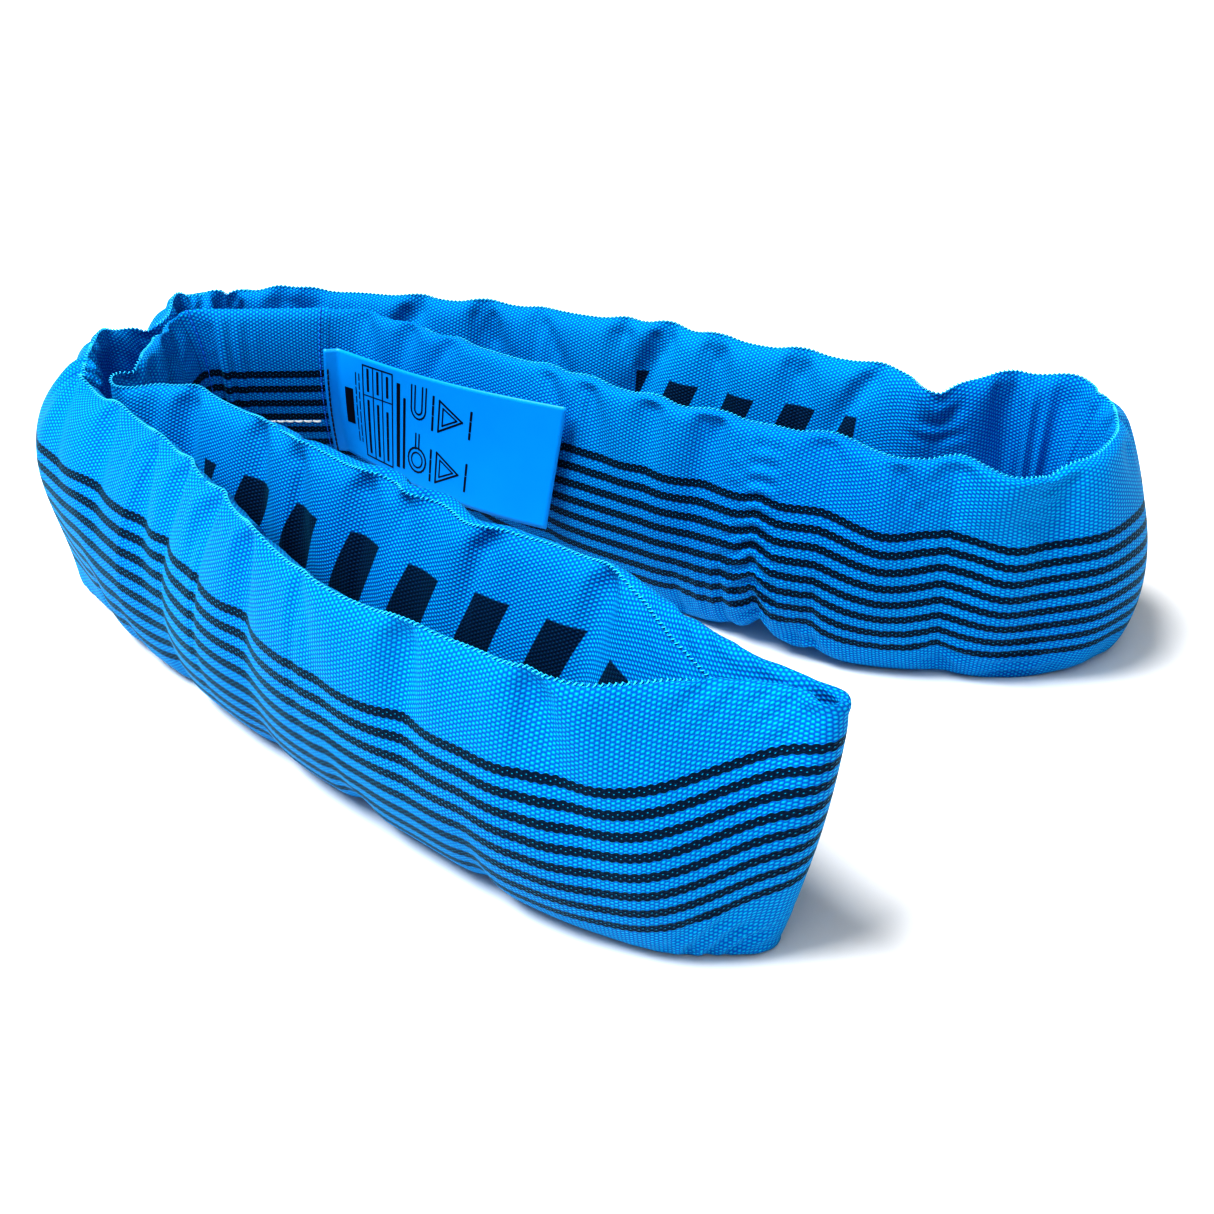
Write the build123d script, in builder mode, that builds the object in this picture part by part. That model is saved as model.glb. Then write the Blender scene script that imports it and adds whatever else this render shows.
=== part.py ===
"""An endless round sling of woven polyester, standing on its edge and folded once into a V.

The sling is one closed loop of tube: a flat-woven sleeve around a hank of load-bearing yarns. It lies doubled,
as strips side by side, so that its two ends are the eyes that take the hook and the load, and it is folded in
the middle. The front limb is strips 1 and 2, and the rear limb is strips 3 and 4 with the fold. The tube is cut
along round seats, centred on the hinges about which the real fabric bends, so that the pieces on both sides of
a seat turn past each other with a constant gap.

Frame: millimetres, +Z up, and the floor is Z = 0 under the middle of the box. +X runs from the fold towards
the eyes, and the front limb is on the -Y side.
"""

import os

from build123d import *

os.makedirs("parts", exist_ok=True)

# ---- The tube's section: across the tube, and up from the floor ----
HEIGHT = 110.0  # flat width of the sleeve, which stands on its edge
HALF_BELLY = 16.0  # half the thickness of the filled tube
BELLY_Z = 46.0  # height of the thickest place, low because the yarns sag
WALL = 1.6  # one layer of the sleeve's cloth with its air, at the belly
TAB_HALF = 1.5  # half the thickness of the flat double edges
TAB_LOW = 5.0  # top of the lower edge
TAB_HIGH = 105.0  # foot of the upper edge
TAB_TOP = 107.9
CAVITY_LOW = 8.5
CAVITY_HIGH = 100.0

# ---- Yarns and threads ----
YARN_R = 3.95  # one bundle of the hank's turns
YARN_PITCH = 8.8
YARN_ROWS = (2, 3, 3, 3, 2)  # bundles in each row, from the lowest row up
EDGE_THREAD_R = 0.9  # the light thread that locks the upper edge
TIE_CLEAR = 0.05
TIE_WALL = 0.3
TIE_LENGTH = 30.0
TIE_PLACE = 90.0  # from the tie to the end of the yarns in strip 4

# ---- The join of the sleeve's ends, and the label ----
CLEAR = 0.3  # air between pieces that lie on each other
CUFF_WALL = 1.2
SEAM_WALL = 0.7
SEAM_WIDTH = 1.4
SEAM_INSET = 2.5  # from the cuff's end to its seam
LIFT = 1.0  # trim stays this far above the floor
JOIN_THREAD_R = 0.9
JOIN_THREAD_Z = 38.0
LABEL_THICK = 0.8
LABEL_LOW = 30.0
LABEL_HIGH = 92.0
LABEL_LENGTH = 138.0
LABEL_TAIL = 14.0  # the end of the label that is sewn down
LABEL_TURN = -9.0  # heading of the free label, in degrees from +X
LABEL_GAP = 1.0  # from the label's hinge to its free plate
STITCH_R = 0.45
STITCH_LENGTH = 5.0
STITCH_PITCH = 7.0

# ---- Plan of the tube's centreline: corners with their fillet radii, in order along the closed loop ----
ROUTE = [
    (8, -73, 200), (91, -91, 120), (144, -116, 70), (207, -114.8, 17.4), (207, -150, 17.4), (130, -159, 120),
    (6, -143, 200), (-146, -72, 200), (-222, -46, 42), (-234, 82, 44), (-144, 120, 200), (-44, 142, 250),
    (126, 140, 60), (158, 135, 50), (194, 161, 40), (231.2, 154, 25), (231.2, 54, 40), (116, 54, 200),
    (1, 69, 300), (-144, 83, 55), (-194, 60, 22), (-189, -24, 22), (-134, -27, 150),
]

# Each length of tube: its first and last corner, the fraction of the run before the first corner where it
# begins, and the fraction of the run after the last corner where it ends
LENGTHS = {
    "front_eye": (1, 5, 0.46, 0.60),
    "front_outer": (6, 6, 0.145, 0.888),
    "rear_outer": (7, 11, 0.59, 0.95),
    "rear_eye": (12, 17, 0.70, 0.43),
    "rear_inner": (17, 22, 0.74, 0.35),
    "front_inner": (0, 1, 0.12, 0.50),
}

# The hinges: centre, heading of the moving side in degrees from +X, radius of the seat, half its width
FOLD_SEAT = ((-161, -45), -21.5, 60.0, 80.0)
FRONT_EYE_SEAT = ((11, -109), -10.0, 75.0, 80.0)
REAR_EYE_SEAT = ((38, 102), -4.0, 78.0, 110.0)
SEAT_GAP = 0.5
SEAT_REACH = 500.0

CUFF = (19, 20, 0.885, 0.20)  # the cuff, given like the lengths of tube


def point_between(first, second, fraction):
    """The point at this fraction of the run from one corner to the next."""
    return (
        first[0] + (second[0] - first[0]) * fraction,
        first[1] + (second[1] - first[1]) * fraction,
    )


def centreline(length):
    """The plan line of one length of tube, straight runs joined by tangent arcs."""
    first, last, start, end = length
    corners = ROUTE[first:last + 1]
    after = ROUTE[(last + 1) % len(ROUTE)]
    points = [point_between(ROUTE[first - 1], corners[0], start)]
    points += [corner[:2] for corner in corners]
    points += [point_between(corners[-1], after, end)]
    with BuildLine():
        path = FilletPolyline(*points, radius=[corner[2] for corner in corners])
    return path


def section_plane(path, at=0.0):
    """A plane across the path: its x points to the left of travel and its y points up."""
    along = path % at
    return Plane(origin=path @ at, x_dir=(-along.Y, along.X, 0), z_dir=along)


def outline(half, low, high):
    """Half of a lens, from its foot to its top, with the widest place at the belly's height."""
    TangentArc((half, BELLY_Z), low, tangent=(0, -1))
    TangentArc((half, BELLY_Z), high, tangent=(0, 1))


def sleeve_face():
    """The outer outline of the sleeve, with its flat edges."""
    with BuildSketch() as face:
        with BuildLine():
            Line((0, 0), (TAB_HALF, 0))
            Line((TAB_HALF, 0), (TAB_HALF, TAB_LOW))
            outline(HALF_BELLY, (TAB_HALF, TAB_LOW), (TAB_HALF, TAB_HIGH))
            Line((TAB_HALF, TAB_HIGH), (TAB_HALF, TAB_TOP))
            Line((TAB_HALF, TAB_TOP), (0, TAB_TOP))
            mirror(about=Plane.YZ)
        make_face()
    return face.sketch


def cavity_face():
    """The inside of the sleeve."""
    with BuildSketch() as face:
        with BuildLine():
            outline(HALF_BELLY - WALL, (0, CAVITY_LOW), (0, CAVITY_HIGH))
            mirror(about=Plane.YZ)
        make_face()
    return face.sketch


def yarn_spots():
    """Where the bundles of the hank pass through the section."""
    spots = []
    for row, count in enumerate(YARN_ROWS):
        z = BELLY_Z + (row - (len(YARN_ROWS) - 1) / 2) * YARN_PITCH
        for column in range(count):
            spots.append(((column - (count - 1) / 2) * YARN_PITCH, z))
    return spots


def seat(place, gap):
    """The space on the moving side of a hinge, outside its round seat."""
    centre, heading, radius, half_width = place
    plane = Plane((centre[0], centre[1], -HEIGHT)).rotated((0, 0, heading))
    with BuildPart(mode=Mode.PRIVATE) as side:
        with BuildSketch(plane):
            Rectangle(SEAT_REACH, 2 * half_width, align=(Align.MIN, Align.CENTER))
            Circle(radius + gap, mode=Mode.SUBTRACT)
        extrude(amount=3 * HEIGHT)
    return side.part


def cut_to_seats(name):
    """Trim the length being built to the round seats that it meets."""
    moving = {"front_eye": FRONT_EYE_SEAT, "front_outer": FOLD_SEAT, "front_inner": FOLD_SEAT,
              "rear_eye": REAR_EYE_SEAT}
    fixed = {"front_outer": [FRONT_EYE_SEAT], "front_inner": [FRONT_EYE_SEAT],
             "rear_outer": [FOLD_SEAT, REAR_EYE_SEAT], "rear_inner": [FOLD_SEAT, REAR_EYE_SEAT]}
    if name in moving:
        add(seat(moving[name], SEAT_GAP / 2), mode=Mode.INTERSECT)
    for place in fixed.get(name, []):
        add(seat(place, -SEAT_GAP / 2), mode=Mode.SUBTRACT)


def save(part, name):
    """Label the finished piece and write it under its own name."""
    part.label = name
    export_step(part, f"parts/{name}.step")


# ---- Six lengths of sleeve, each with its yarns and its edge thread ----
OUTSIDE = sleeve_face()
INSIDE = cavity_face()
cuff_line = centreline(CUFF)

with BuildPart() as edge_window:  # over the cuff the sleeve's upper edge carries no edge thread
    with BuildSketch(section_plane(cuff_line)):
        with Locations((0, TAB_TOP)):
            Rectangle(2 * HALF_BELLY, HEIGHT - BELLY_Z)
    sweep(path=cuff_line)

for name, length in LENGTHS.items():
    line = centreline(length)
    across = section_plane(line)

    with BuildPart() as sleeve:
        with BuildSketch(across):
            add(OUTSIDE)
            add(INSIDE, mode=Mode.SUBTRACT)
        sweep(path=line)
        cut_to_seats(name)
    save(sleeve.part, f"sleeve_{name}")

    with BuildPart() as yarns:
        with BuildSketch(across):
            with Locations(*yarn_spots()):
                Circle(YARN_R)
        sweep(path=line)
        cut_to_seats(name)
    save(yarns.part, f"core_yarns_{name}")

    with BuildPart() as edge_thread:
        with BuildSketch(across):
            with Locations((0, HEIGHT - EDGE_THREAD_R)):
                Circle(EDGE_THREAD_R)
        sweep(path=line)
        cut_to_seats(name)
        if name == "rear_inner":
            add(edge_window.part, mode=Mode.SUBTRACT)
    save(edge_thread.part, f"edge_thread_{name}")


def skin_ring(inner, outer):
    """A skin round the sleeve, between two distances from it, open at the foot."""
    with BuildSketch() as ring:
        add(OUTSIDE)
        offset(amount=outer, kind=Kind.INTERSECTION)
        with BuildSketch(mode=Mode.SUBTRACT):
            add(OUTSIDE)
            offset(amount=inner, kind=Kind.INTERSECTION)
        with Locations((0, LIFT)):
            Rectangle(4 * HALF_BELLY, HEIGHT, align=(Align.CENTER, Align.MAX), mode=Mode.SUBTRACT)
    return ring.sketch


def belly_half(z):
    """Half the sleeve's thickness at this height, on the arcs of its outline."""
    tip = TAB_LOW if z < BELLY_Z else TAB_HIGH
    rise = HALF_BELLY - TAB_HALF
    radius = (rise ** 2 + (tip - BELLY_Z) ** 2) / (2 * rise)
    return HALF_BELLY - radius + (radius ** 2 - (z - BELLY_Z) ** 2) ** 0.5


# ---- The cuff, where one end of the sleeve is drawn over the other, and its two rows of stitching ----
CUFF_OUT = CLEAR + CUFF_WALL

with BuildPart() as join_cuff:
    with BuildSketch(section_plane(cuff_line)):
        add(skin_ring(CLEAR, CUFF_OUT))
    sweep(path=cuff_line)
save(join_cuff.part, "join_cuff")

for name, place in (("label_end", LABEL_TAIL + 2 * SEAM_INSET), ("fold_end", cuff_line.length - SEAM_INSET)):
    with BuildPart() as join_seam:
        with BuildSketch(section_plane(cuff_line, place / cuff_line.length)):
            add(skin_ring(CUFF_OUT + CLEAR, CUFF_OUT + CLEAR + SEAM_WALL))
        extrude(amount=SEAM_WIDTH / 2, both=True)
    save(join_seam.part, f"join_seam_{name}")

# ---- The light thread that runs along the cuff, between the fourth and the fifth stripe ----
thread_start = (LABEL_TAIL + 3 * SEAM_INSET) / cuff_line.length
thread_end = 1 - 4 * SEAM_INSET / cuff_line.length

with BuildPart() as join_thread:
    with BuildSketch(section_plane(cuff_line, thread_start)):
        with Locations((belly_half(JOIN_THREAD_Z) + CUFF_OUT + CLEAR + JOIN_THREAD_R, JOIN_THREAD_Z)):
            Circle(JOIN_THREAD_R)
    sweep(path=cuff_line.trim(thread_start, thread_end))
save(join_thread.part, "join_thread")

# ---- The tape that ties the hank's last turn to its first, round one bundle ----
tie_inner = YARN_R + TIE_CLEAR
tied_line = centreline(LENGTHS["rear_outer"])

with BuildPart() as yarn_end_tie:
    with BuildSketch(section_plane(tied_line, 1 - TIE_PLACE / tied_line.length)):
        with Locations((0, BELLY_Z)):
            Circle(tie_inner + TIE_WALL)
            Circle(tie_inner, mode=Mode.SUBTRACT)
    extrude(amount=TIE_LENGTH)
save(yarn_end_tie.part, "yarn_end_tie")

# ---- The label: its tail is sewn down at the cuff's end, and the rest hangs free beside strip 3 ----
tail_line = cuff_line.trim(SEAM_INSET / cuff_line.length, (SEAM_INSET + LABEL_TAIL) / cuff_line.length)
tail_inner = CUFF_OUT + CLEAR
tail_outer = tail_inner + LABEL_THICK

with BuildPart() as label_tail:
    with BuildSketch(section_plane(tail_line)):
        add(skin_ring(tail_inner, tail_outer))
        with Locations((0, LABEL_LOW)):
            Rectangle(4 * HALF_BELLY, LABEL_HIGH - LABEL_LOW, align=(Align.MIN, Align.MIN), mode=Mode.INTERSECT)
    sweep(path=tail_line)
save(label_tail.part, "label_tail")

stitch_count = int((LABEL_HIGH - LABEL_LOW) / STITCH_PITCH)
stitch_z = [LABEL_LOW + STITCH_PITCH * (turn + 0.5) for turn in range(stitch_count)]

with BuildPart() as label_stitches:
    for z in stitch_z:
        middle = section_plane(tail_line, 0.5)
        half = belly_half(z) + tail_outer + CLEAR + STITCH_R
        across = Plane(middle.from_local_coords((half, z, -STITCH_LENGTH / 2)), z_dir=middle.z_dir)
        with BuildSketch(across):
            Circle(STITCH_R)
        extrude(amount=STITCH_LENGTH)
save(label_stitches.part, "label_stitches")

start = section_plane(tail_line)
hinge = start.from_local_coords((HALF_BELLY + tail_outer + CLEAR, 0, -LABEL_GAP))

with BuildPart() as label_flap:
    with BuildSketch(Plane((hinge.X, hinge.Y, LABEL_LOW)).rotated((0, 0, LABEL_TURN))):
        with Locations((LABEL_GAP, 0)):
            Rectangle(LABEL_LENGTH, LABEL_THICK, align=(Align.MIN, Align.CENTER))
    extrude(amount=LABEL_HIGH - LABEL_LOW)
save(label_flap.part, "label_flap")
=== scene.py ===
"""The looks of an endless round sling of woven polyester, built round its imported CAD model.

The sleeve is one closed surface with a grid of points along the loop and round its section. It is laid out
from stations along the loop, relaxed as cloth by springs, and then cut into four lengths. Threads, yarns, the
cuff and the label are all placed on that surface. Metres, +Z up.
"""

from math import cos, pi, radians, sin

import bpy
import numpy as np
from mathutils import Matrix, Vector


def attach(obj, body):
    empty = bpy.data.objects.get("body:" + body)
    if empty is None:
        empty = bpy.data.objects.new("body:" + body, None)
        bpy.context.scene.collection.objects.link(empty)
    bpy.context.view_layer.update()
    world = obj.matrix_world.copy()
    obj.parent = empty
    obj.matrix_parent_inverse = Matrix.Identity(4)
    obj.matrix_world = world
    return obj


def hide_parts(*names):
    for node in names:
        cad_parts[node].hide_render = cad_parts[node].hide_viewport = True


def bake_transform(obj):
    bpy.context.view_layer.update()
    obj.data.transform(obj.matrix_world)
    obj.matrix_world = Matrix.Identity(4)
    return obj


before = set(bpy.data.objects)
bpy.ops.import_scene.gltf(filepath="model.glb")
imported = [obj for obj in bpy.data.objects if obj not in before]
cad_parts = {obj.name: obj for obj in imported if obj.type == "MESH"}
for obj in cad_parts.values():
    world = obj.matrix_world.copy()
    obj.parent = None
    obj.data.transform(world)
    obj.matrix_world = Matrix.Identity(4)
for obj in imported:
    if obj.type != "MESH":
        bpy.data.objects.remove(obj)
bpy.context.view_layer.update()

MM = 0.001
SEED = 7

# ---- The tube ----
FACE = 115.0 * MM  # flat width of the sleeve, from its lower edge to its upper edge
EDGE = 1.0 * MM  # half the thickness of the double edge at the top and at the foot
HEIGHT = 106 * MM  # how high the sleeve stands
FLOOR_GAP = 0.3 * MM  # the lowest that the cloth comes to the floor
ALONG_STEP = 4.2 * MM  # grid of the relaxed sleeve: from row to row along the loop
ROUND_COUNT = 56  # and points round the section
FINE_ALONG = 3  # finer grid of the finished sleeve, as a multiple of the relaxed one
FINE_ROUND = 3
LENS_POWER = 0.8  # the section's sides are sine curves to this power, so that they are full and not pointed
RIGHT_BELLY = 0.85  # the belly's place on the right, as in STATIONS
LEAN_POWER = 1.6  # how late on its way up the section leans over to its upper edge
MOST_LEAN = 30 * MM

# Corners of the tube's centreline in order along the loop: x, y and fillet radius, then half the thickness to
# the left and to the right, how far the foot stands to the left of the line, the belly's place on the left
# (below 1 it is low, above 1 it is high), and how far the sleeve is rolled over towards its right
STATIONS = [
    (8, -70, 200, 18, 17, 0, 0.8, 4), (91, -88, 110, 18, 17, 0, 0.8, 0), (124, -103, 60, 17, 16, 0, 0.9, 5),
    (152, -113, 60, 16, 14, -2, 1.0, 14), (195, -127, 3, 7, 6, 0, 1.0, 24), (195, -136, 3, 7, 6, 2, 1.0, 24),
    (174, -143, 60, 13, 12, 4, 1.0, 8), (150, -150, 60, 16, 15, 4, 0.8, 0),
    (110, -160, 90, 18, 17, -9, 0.7, 0), (6, -143, 200, 18, 17, -18, 0.7, 0),
    (-84, -101, 200, 18, 17, -4, 0.8, 0), (-146, -72, 200, 18, 17, 3, 0.9, 0),
    (-222, -44, 42, 18, 12, -2, 2.2, 0), (-238, 84, 44, 19, 13, -5, 2.2, 0),
    (-144, 121, 200, 17, 15, 0, 0.9, 0), (-44, 143, 250, 18, 17, 0, 0.8, 0),
    (112, 142, 60, 17, 16, 0, 0.8, 0), (148, 138, 40, 13, 12, 0, 0.8, 0), (188, 163, 32, 16, 15, 0, 0.8, 0),
    (223, 156, 30, 17, 15, 8, 0.9, 0), (235, 110, 45, 15, 15, 12, 0.8, 1), (208, 68, 42, 14, 13, -4, 0.8, 2),
    (130, 61, 200, 16, 15, 13, 0.8, 2), (1, 75, 300, 17, 16, 3, 0.8, 2), (-142, 84, 40, 11, 12, -14, 1.2, 4),
    (-200, 56, 9, 10, 9, -10, 1.2, 4), (-189, -24, 12, 12, 9, 4, 0.9, 0), (-134, -27, 100, 17, 15, 0, 0.8, 0),
]

FRONT_END = (198, -131)  # the sharp fold at the front
FRONT_END_LEAN = 20.0  # how much further forward its top is than its foot, in millimetres
FRONT_END_REACH = 32 * MM  # how far from the fold this lean fades
FRONT_END_STILL = 0.52  # the share of the height at which it moves nothing

# Where the upper edge runs, in order along the loop: x, y and height
RIDGE_LINE = [
    (2, -66, 104), (16, -63, 106), (36, -77, 104), (49, -76, 105), (70, -78, 105), (89, -83, 105),
    (102, -87, 106), (112, -92, 106), (124, -98, 106), (136, -105, 105), (148, -110, 105),
    (159, -116, 105), (170, -120, 105), (181, -123, 105), (196, -127, 106), (206, -131, 106),
    (196, -134, 105), (182, -128, 105), (174, -128, 105), (167, -131, 105), (159, -136, 105),
    (150, -144, 105), (140, -151, 105), (129, -158, 105), (119, -161, 105), (105, -160, 105),
    (88, -156, 105), (65, -153, 105), (24, -147, 105), (5, -141, 105), (-22, -127, 105),
    (-84, -91, 105), (-109, -76, 105), (-138, -62, 105), (-176, -47, 104), (-192, -37, 104),
    (-206, -22, 105), (-217, -8, 105), (-224, 6, 105), (-226, 20, 104), (-218, 31, 103),
    (-215, 40, 103), (-219, 50, 105), (-223, 61, 107), (-222, 71, 107), (-215, 79, 107),
    (-202, 87, 107), (-154, 113, 106), (-70, 134, 106), (13, 143, 106), (61, 140, 106), (96, 142, 106),
    (136, 139, 106), (148, 125, 101), (158, 138, 106), (170, 150, 107), (189, 163, 107),
    (210, 163, 106), (224, 148, 106), (234, 116, 106), (232, 90, 106), (219, 68, 105), (209, 54, 101),
    (198, 60, 105), (176, 59, 105), (160, 50, 103), (136, 58, 106), (115, 54, 106), (53, 57, 106),
    (-58, 77, 106), (-117, 90, 106), (-140, 91, 106), (-152, 82, 106), (-203, 53, 106), (-214, 49, 106),
    (-204, 24, 105), (-184, -12, 103), (-193, -27, 103), (-170, -36, 102), (-162, -27, 105),
    (-136, -26, 106), (-79, -42, 106), (-28, -57, 106), (-10, -57, 106),
]


# ---- Lines and grids ----
def rounded_corner(before, corner, after, radius):
    """The points of the arc that rounds one corner, in metres, about 1 mm apart."""
    back = (before - corner) / np.linalg.norm(before - corner)
    ahead = (after - corner) / np.linalg.norm(after - corner)
    half = np.arccos(np.clip(back @ ahead, -1, 1)) / 2
    middle = corner + (back + ahead) / np.linalg.norm(back + ahead) * radius / np.sin(half)
    first = corner + back * radius / np.tan(half) - middle
    turn = np.sign(back[1] * ahead[0] - back[0] * ahead[1]) * (pi - 2 * half)
    count = max(3, int(abs(turn) * radius / MM))
    angles = np.linspace(0, turn, count)
    x = first[0] * np.cos(angles) - first[1] * np.sin(angles)
    y = first[0] * np.sin(angles) + first[1] * np.cos(angles)
    return middle + np.stack([x, y], 1)


def smooth_ring(values, sigma):
    """Values on a closed ring, blurred along it. Sigma is in steps of the ring."""
    count = len(values)
    waves = np.fft.fftfreq(count) * 2 * pi
    keep = np.exp(-0.5 * (waves * sigma) ** 2)
    flat = values.reshape(count, -1)
    return np.fft.ifft(np.fft.fft(flat, axis=0) * keep[:, None], axis=0).real.reshape(values.shape)


class Route:
    """The closed centreline of the tube, and the stations' values and the upper edge's place along it."""

    def __init__(self):
        corners = np.array([station[:2] for station in STATIONS]) * MM
        arcs = []
        for i, station in enumerate(STATIONS):
            after = corners[(i + 1) % len(corners)]
            arcs.append(rounded_corner(corners[i - 1], corners[i], after, station[2] * MM))
        points = np.concatenate(arcs)
        steps = np.linalg.norm(np.roll(points, -1, 0) - points, axis=1)
        at = np.concatenate([[0], np.cumsum(steps)])
        self.length = at[-1]
        self.count = 2 * round(self.length / ALONG_STEP / 2)
        closed = np.concatenate([points, points[:1]])
        self.along = np.arange(self.count) * self.length / self.count
        self.line = np.stack([np.interp(self.along, at, closed[:, k]) for k in (0, 1)], 1)
        starts = np.cumsum([0] + [len(arc) for arc in arcs[:-1]])
        middles = at[starts + np.array([len(arc) // 2 for arc in arcs])]
        self.half_left, self.half_right, self.foot, self.belly, self.roll = [
            smooth_ring(np.interp(self.along, middles, values, period=self.length), 2.5)
            for values in np.array([station[3:] for station in STATIONS]).T
        ]
        self.line = smooth_ring(self.line, 0.8)
        ahead = np.roll(self.line, -1, 0) - np.roll(self.line, 1, 0)
        ahead /= np.linalg.norm(ahead, axis=1)[:, None]
        self.left = np.stack([-ahead[:, 1], ahead[:, 0]], 1)
        self.lean, self.height = self.ridge_place()

    def ridge_place(self):
        """How far the upper edge stands to the left of the line, and its height, at each row."""
        edge = np.array(RIDGE_LINE) * MM
        first, run = edge[None, :, :2], (np.roll(edge, -1, 0) - edge)[None, :, :2]
        gap = first - self.line[:, None]
        left = self.left[:, None]
        det = left[..., 0] * -run[..., 1] + left[..., 1] * run[..., 0]
        off = (gap[..., 0] * -run[..., 1] + gap[..., 1] * run[..., 0]) / det
        part = (left[..., 0] * gap[..., 1] - left[..., 1] * gap[..., 0]) / det
        off = np.where((part >= 0) & (part <= 1), off, np.inf)
        best = np.argmin(np.abs(off), axis=1)
        rows = np.arange(self.count)
        rise = np.roll(edge, -1, 0)[best, 2] - edge[best, 2]
        height = edge[best, 2] + rise * np.clip(part[rows, best], 0, 1)
        return smooth_ring(np.clip(off[rows, best], -MOST_LEAN, MOST_LEAN), 1.0), smooth_ring(height, 1.0)

    def nearest(self, x, y):
        """The index of the point of the line nearest to a place in plan, given in millimetres."""
        return int(np.argmin(np.linalg.norm(self.line - np.array([x, y]) * MM, axis=1)))


route = Route()


def laid_out(lean, height, foot_rise):
    """The sleeve before it is filled: a grid of points along the loop and round the section."""
    h = np.linspace(0, 1, 91)[None, :]
    middle = route.foot[:, None] * MM * (1 - h) + lean[:, None] * h ** LEAN_POWER
    sides = []
    for side, half, belly in (
        (1.0, route.half_left, route.belly[:, None]),
        (-1.0, route.half_right, RIGHT_BELLY),
    ):
        half = half[:, None] * MM - EDGE
        lens = np.sin(pi * h ** belly) ** LENS_POWER
        across = middle + side * (EDGE + half * lens)
        up = foot_rise[:, None] + (height - foot_rise)[:, None] * h
        arc = np.cumsum(np.hypot(np.diff(across, axis=1, prepend=0), np.diff(up, axis=1, prepend=0)), 1)
        arc = (arc - arc[:, :1]) / (arc[:, -1:] - arc[:, :1]) * FACE
        if side < 0:
            across, up, arc = across[:, ::-1], up[:, ::-1], 2 * FACE - arc[:, ::-1]
        sides.append((across, up, arc))
    across, up, arc = [np.concatenate(pair, 1) for pair in zip(*sides)]
    v = np.arange(ROUND_COUNT) * 2 * FACE / ROUND_COUNT
    rows = []
    for i in range(route.count):
        place = v + route.roll[i] * MM
        rows.append([np.interp(place, arc[i], values[i], period=2 * FACE) for values in (across, up)])
    across, up = np.moveaxis(np.array(rows), 1, 0)
    plan = route.line[:, None, :] + route.left[:, None, :] * across[..., None]
    near_end = np.exp(-(np.linalg.norm(route.line - np.array(FRONT_END) * MM, axis=1) / FRONT_END_REACH) ** 2)
    plan[..., 0] += FRONT_END_LEAN * MM * near_end[:, None] * (up / HEIGHT - FRONT_END_STILL)
    return np.concatenate([plan, up[..., None]], 2)


# ---- Gathers: the thread in the upper edge and the full hank pull the long cloth into soft folds ----
SMOOTH_RUNS = (  # no gathers here
    ((-140, 84), (-196, 58)),  # the cuff
    ((110, -98), (126, -156)),  # the front end
)
TOP_GAPS = (24, 60)  # folds from the upper edge down: least and greatest distance between them, in millimetres
TOP_DEPTHS = (3.5, 10.0)
TOP_REACHES = (28, 80)
TOP_SLANT = 0.35  # the spread of their slants
TOP_RISES = (0.2, 1.7)  # how far the edge rises at each
TOP_LEAN = 1.6  # the spread of how far it leans there
FOOT_GAPS = (28, 75)  # folds from the lower edge up
FOOT_DEPTHS = (0.8, 3.2)
FOOT_REACHES = (18, 45)
FOOT_SLANT = 0.2
MOST_DENT = 0.8  # the deepest fold, as a share of half the tube's thickness there

# Deep folds at the sharp bends: place in plan, depth, reach down from the upper edge, and that edge's rise
PLEATS = (
    (-206, -22, 7, 60, -4), (-226, 6, 8, 45, 3), (-228, 30, 6, 70, -5), (-230, 58, 7, 60, 3),
    (-214, 92, 6, 70, -4), (-188, 104, 5, 60, 2), (-196, 30, 5, 60, -3), (-192, -8, 7, 50, 2),
    (-178, -34, 6, 60, -3), (222, 66, 10, 85, -6), (152, 134, 9, 85, -5), (206, 162, 6, 60, 2),
    (236, 132, 5, 60, 2), (0, -73, 5, 30, 3),
)

# Where folds lift the lower edge off the floor: place in plan, and how far up
LIFTS = ((107, 59, 14), (131, 63, 6), (90, 60, 4))

# Kinds of fold: half its width at the edge where it starts and how far in from there it is at full depth, in
# millimetres, then how much it widens on its way in, and how soft its crease is (2 is a bell curve)
TOP_FOLD = (5, 7, 0.16, 1.6)
PLEAT_FOLD = (6, 6, 0.1, 1.4)
FOOT_FOLD = (5, 7, 0.14, 1.6)


def gathers(rng, low, high):
    """Places of folds along the loop, in metres, with random gaps between these two, in millimetres."""
    places = np.cumsum(rng.uniform(low, high, int(route.length / MM / low)))
    places = places[places < route.length / MM - low] * MM
    for first, last in SMOOTH_RUNS:
        start, end = [route.along[route.nearest(*place)] for place in (first, last)]
        places = places[(places < start) | (places > end)]
    return places


def from_place(place):
    """The distance along the loop of every row from a place, counted both ways round."""
    return (route.along - place + route.length / 2) % route.length - route.length / 2


def fold(away, inward, depth, reach, slant, kind):
    """The dent of one fold that runs in from an edge of the sleeve, at a slant to the section."""
    width, start, widening, power = kind
    across = (away[:, None] - slant * inward) / (width * MM + widening * inward)
    fade = np.minimum(1, inward / (start * MM)) * np.exp(-(inward / reach) ** 2)
    return depth * fade * np.exp(-np.abs(across) ** power)


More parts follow.
